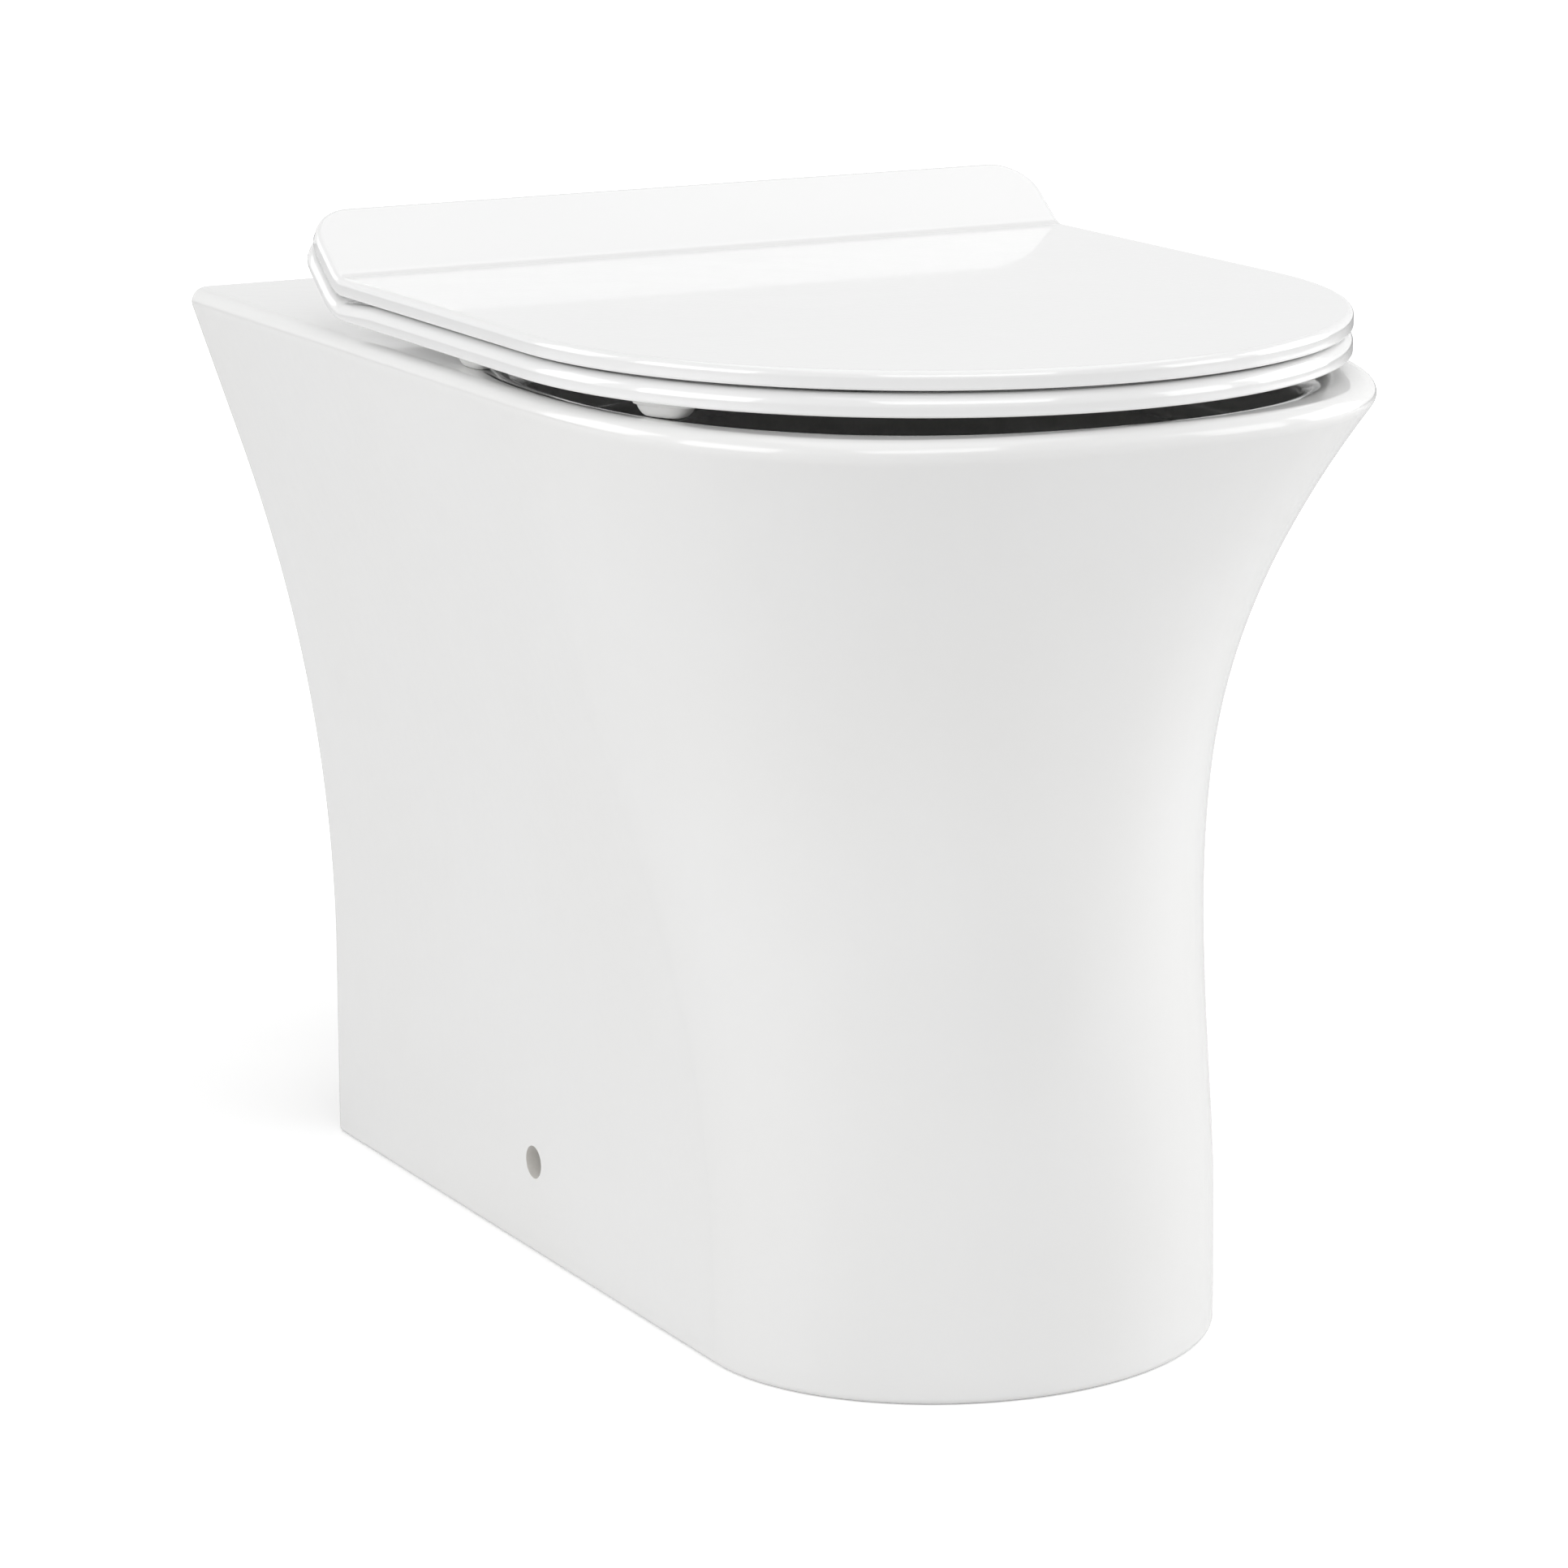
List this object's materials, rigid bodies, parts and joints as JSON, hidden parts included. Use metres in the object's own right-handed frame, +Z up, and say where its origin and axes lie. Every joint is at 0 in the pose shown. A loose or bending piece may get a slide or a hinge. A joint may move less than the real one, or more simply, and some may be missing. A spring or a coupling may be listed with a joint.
{
  "type": "back to wall toilet",
  "caption": "Floor standing back to wall toilet: flared skirted ceramic pan, rimless bowl, horizontal outlet, slim hinged seat ring and lid with a turned up back.",
  "frame": {"origin": "on the floor, in the middle of the footprint box", "axes": "+X to the right seen from the front, +Y towards the wall, +Z up"},
  "size_m": [0.355, 0.515, 0.4488],
  "materials": {
    "china": "white gloss glaze",
    "seat_plastic": "white gloss thermoset",
    "buffer_rubber": "soft translucent white",
    "sleeve_rubber": "matt black",
    "stainless": "brushed",
    "chrome": "bright",
    "damper_body": "satin grey",
    "bush_plastic": "satin white",
    "button_plastic": "satin grey",
    "bracket_steel": "zinc plated"
  },
  "bodies": {
    "root": {"pan": "china", "pan_foot": "china", "inlet_horn": "china", "hinge_base_left": "stainless", "hinge_base_right": "stainless", "base_gaskets": "sleeve_rubber", "hinge_post_left": "chrome", "hinge_post_right": "chrome", "lid_damper": "damper_body", "seat_damper": "damper_body", "lid_pivot_pin": "stainless", "seat_pivot_pin": "stainless", "fixing_screws": "stainless", "fixing_sleeves": "sleeve_rubber", "fixing_nuts": "stainless", "floor_bracket_left": "bracket_steel", "floor_bracket_right": "bracket_steel"},
    "seat": {"seat_ring": "seat_plastic", "seat_buffers": "buffer_rubber", "seat_bush": "bush_plastic"},
    "lid": {"lid": "seat_plastic", "lid_buffers": "buffer_rubber", "lid_bush": "bush_plastic"},
    "left_button": {"release_button_left": "button_plastic"},
    "right_button": {"release_button_right": "button_plastic"}
  },
  "joints": [
    {"name": "seat_hinge", "type": "hinge", "parent": "root", "child": "seat", "pos_m": [0, 0.133, 0.43], "axis": [-1, 0, 0], "range_deg": [0, 92]},
    {"name": "lid_hinge", "type": "hinge", "parent": "seat", "child": "lid", "pos_m": [0, 0.133, 0.43], "axis": [-1, 0, 0], "range_deg": [0, 95]},
    {"name": "left_release", "type": "slide", "parent": "root", "child": "left_button", "axis": [1, 0, 0], "range_m": [0, 0.0025], "stiffness_N_per_m": 300, "springref_m": -0.002},
    {"name": "right_release", "type": "slide", "parent": "root", "child": "right_button", "axis": [-1, 0, 0], "range_m": [0, 0.0025], "stiffness_N_per_m": 300, "springref_m": -0.002}
  ]
}
